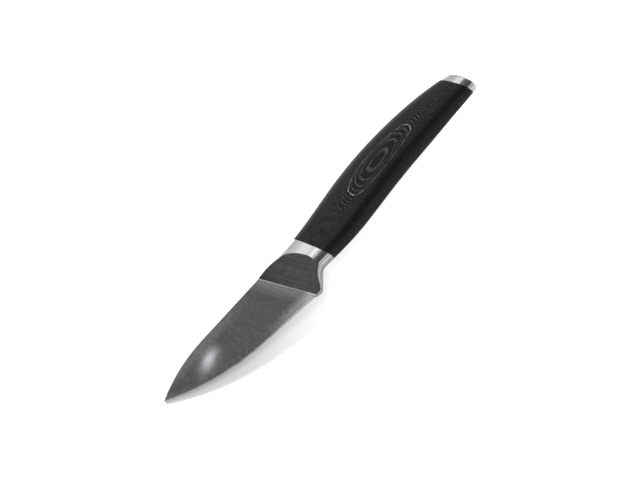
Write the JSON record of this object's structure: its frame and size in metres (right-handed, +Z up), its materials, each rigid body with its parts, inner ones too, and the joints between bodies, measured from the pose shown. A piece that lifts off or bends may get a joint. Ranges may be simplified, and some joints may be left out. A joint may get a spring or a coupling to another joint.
{
  "type": "paring knife",
  "caption": "Small kitchen paring knife: flat-ground pointed blade, satin ricasso running into a polished oval bolster, black laminated oval grip and a slanted polished end cap.",
  "frame": {"origin": "under the middle of the knife's bounding box, on the level of the grip's lowest point as it lies on its right side", "axes": "+X from the blade's tip to the butt, +Y from the cutting edge to the spine, +Z up through the blade's left side"},
  "size_m": [0.19, 0.0319, 0.0125],
  "materials": {
    "blade_steel": "fine satin, ground along the blade",
    "polished_steel": "bright polished stainless steel",
    "black_laminate": "black resin-bonded fabric laminate, sanded smooth",
    "dowel_steel": "drawn wire, hidden",
    "cured_resin": "cured epoxy, hidden"
  },
  "bodies": {
    "root": {"blade": "blade_steel", "bolster": "polished_steel", "handle_half_left": "black_laminate", "handle_half_right": "black_laminate", "locating_dowels": "dowel_steel", "tang_bedding": "cured_resin", "end_cap": "polished_steel"}
  },
  "joints": []
}
